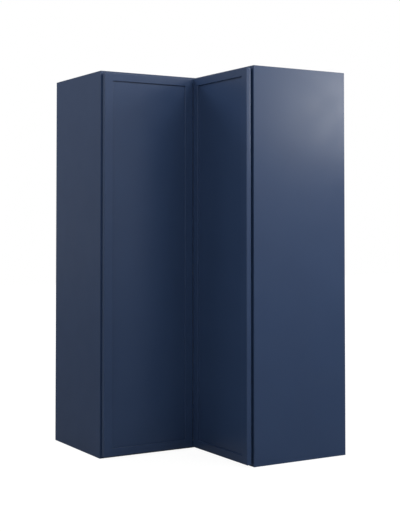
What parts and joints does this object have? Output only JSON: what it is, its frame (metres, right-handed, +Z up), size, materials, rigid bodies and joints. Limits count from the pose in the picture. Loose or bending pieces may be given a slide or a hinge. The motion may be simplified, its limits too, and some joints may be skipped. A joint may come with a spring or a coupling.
{
  "type": "corner wall cabinet",
  "caption": "L-shaped wall cabinet for an inside corner, with a folding pie-cut door pair on concealed hinges and adjustable shelves.",
  "frame": {"origin": "at the base, at the concave corner of the L-shaped plan, which is the centre of the overall square", "axes": "+Z up; the room's walls are at +Y and +X; the left wing faces -Y and the right wing faces -X"},
  "size_m": [0.6096, 0.6096, 1.0668],
  "materials": {
    "navy_lacquer": "navy blue satin lacquer on board",
    "navy_edge_band": "satin edge band, colour of the doors",
    "maple_board": "clear coated maple veneer plywood",
    "maple_edge_band": "maple veneer edge band",
    "birch_rail": "raw birch plywood",
    "beech_dowel": "fluted beech",
    "plated_steel": "nickel plated steel",
    "zinc_cam": "die-cast zinc",
    "clear_bumper": "clear soft polyurethane"
  },
  "bodies": {
    "carcass": {"end_panel_left": "navy_lacquer", "end_panel_right": "navy_lacquer", "end_edge_band_left": "navy_edge_band", "end_edge_band_right": "navy_edge_band", "bottom_panel": "maple_board", "bottom_edge_band": "navy_edge_band", "top_panel": "maple_board", "top_edge_band": "navy_edge_band", "back_panel_rear": "maple_board", "back_panel_side": "maple_board", "hanging_rail_rear_lower": "birch_rail", "hanging_rail_rear_upper": "birch_rail", "hanging_rail_side_lower": "birch_rail", "hanging_rail_side_upper": "birch_rail", "shelf_lower": "maple_board", "shelf_middle": "maple_board", "shelf_upper": "maple_board", "shelf_edge_band_lower": "maple_edge_band", "shelf_edge_band_middle": "maple_edge_band", "shelf_edge_band_upper": "maple_edge_band", "shelf_pins": "plated_steel", "cam_bolts": "plated_steel", "cam_discs": "zinc_cam", "dowels": "beech_dowel", "rail_corner_screws": "plated_steel", "main_hinge_plates": "plated_steel", "main_hinge_plate_screws": "plated_steel", "main_hinge_arms": "plated_steel", "main_hinge_arm_screws": "plated_steel", "main_hinge_arm_pins": "plated_steel"},
    "left_leaf": {"left_leaf_core": "navy_lacquer", "left_leaf_outer_stile": "navy_lacquer", "left_leaf_inner_stile": "navy_lacquer", "left_leaf_top_rail": "navy_lacquer", "left_leaf_bottom_rail": "navy_lacquer", "main_hinge_cups": "plated_steel", "main_hinge_cup_pins": "plated_steel", "main_hinge_cup_screws": "plated_steel", "fold_hinge_plates": "plated_steel", "fold_hinge_plate_screws": "plated_steel", "fold_hinge_arms": "plated_steel", "fold_hinge_arm_screws": "plated_steel", "fold_hinge_arm_pins": "plated_steel"},
    "right_leaf": {"right_leaf_core": "navy_lacquer", "right_leaf_outer_stile": "navy_lacquer", "right_leaf_inner_stile": "navy_lacquer", "right_leaf_top_rail": "navy_lacquer", "right_leaf_bottom_rail": "navy_lacquer", "fold_hinge_cups": "plated_steel", "fold_hinge_cup_pins": "plated_steel", "fold_hinge_cup_screws": "plated_steel", "door_bumpers": "clear_bumper"},
    "main_swing_links": {"main_hinge_swing_links": "plated_steel", "main_hinge_elbow_pins": "plated_steel"},
    "main_hook_links": {"main_hinge_hook_links": "plated_steel"},
    "fold_swing_links": {"fold_hinge_swing_links": "plated_steel", "fold_hinge_elbow_pins": "plated_steel"},
    "fold_hook_links": {"fold_hinge_hook_links": "plated_steel"}
  },
  "joints": [
    {"name": "main_hinge", "type": "hinge", "parent": "carcass", "child": "left_leaf", "pos_m": [-0.3018, -0.021, 0.5334], "axis": [0, 0, -1], "range_deg": [0, 165]},
    {"name": "fold_hinge", "type": "hinge", "parent": "left_leaf", "child": "right_leaf", "pos_m": [-0.021, -0.021, 0.5334], "axis": [0, 0, 1], "range_deg": [0, 60]},
    {"name": "main_swing", "type": "hinge", "parent": "carcass", "child": "main_swing_links", "pos_m": [-0.276, 0.012, 0.5334], "axis": [0, 0, -1], "range_deg": [0, 165]},
    {"name": "main_hook", "type": "hinge", "parent": "left_leaf", "child": "main_hook_links", "pos_m": [-0.2868, -0.005, 0.5334], "axis": [0, 0, 1], "range_deg": [0, 165]},
    {"name": "fold_swing", "type": "hinge", "parent": "left_leaf", "child": "fold_swing_links", "pos_m": [-0.008, 0.0078, 0.5334], "axis": [0, 0, 1], "range_deg": [0, 60]},
    {"name": "fold_hook", "type": "hinge", "parent": "right_leaf", "child": "fold_hook_links", "pos_m": [-0.005, -0.0365, 0.5334], "axis": [0, 0, -1], "range_deg": [0, 60]}
  ],
  "couplings": [
    {"joint": "fold_hinge", "follows": "main_hinge", "ratio": 0.3636},
    {"joint": "main_swing", "follows": "main_hinge", "ratio": 1},
    {"joint": "main_hook", "follows": "main_hinge", "ratio": 1},
    {"joint": "fold_swing", "follows": "main_hinge", "ratio": 0.3636},
    {"joint": "fold_hook", "follows": "main_hinge", "ratio": 0.3636}
  ]
}
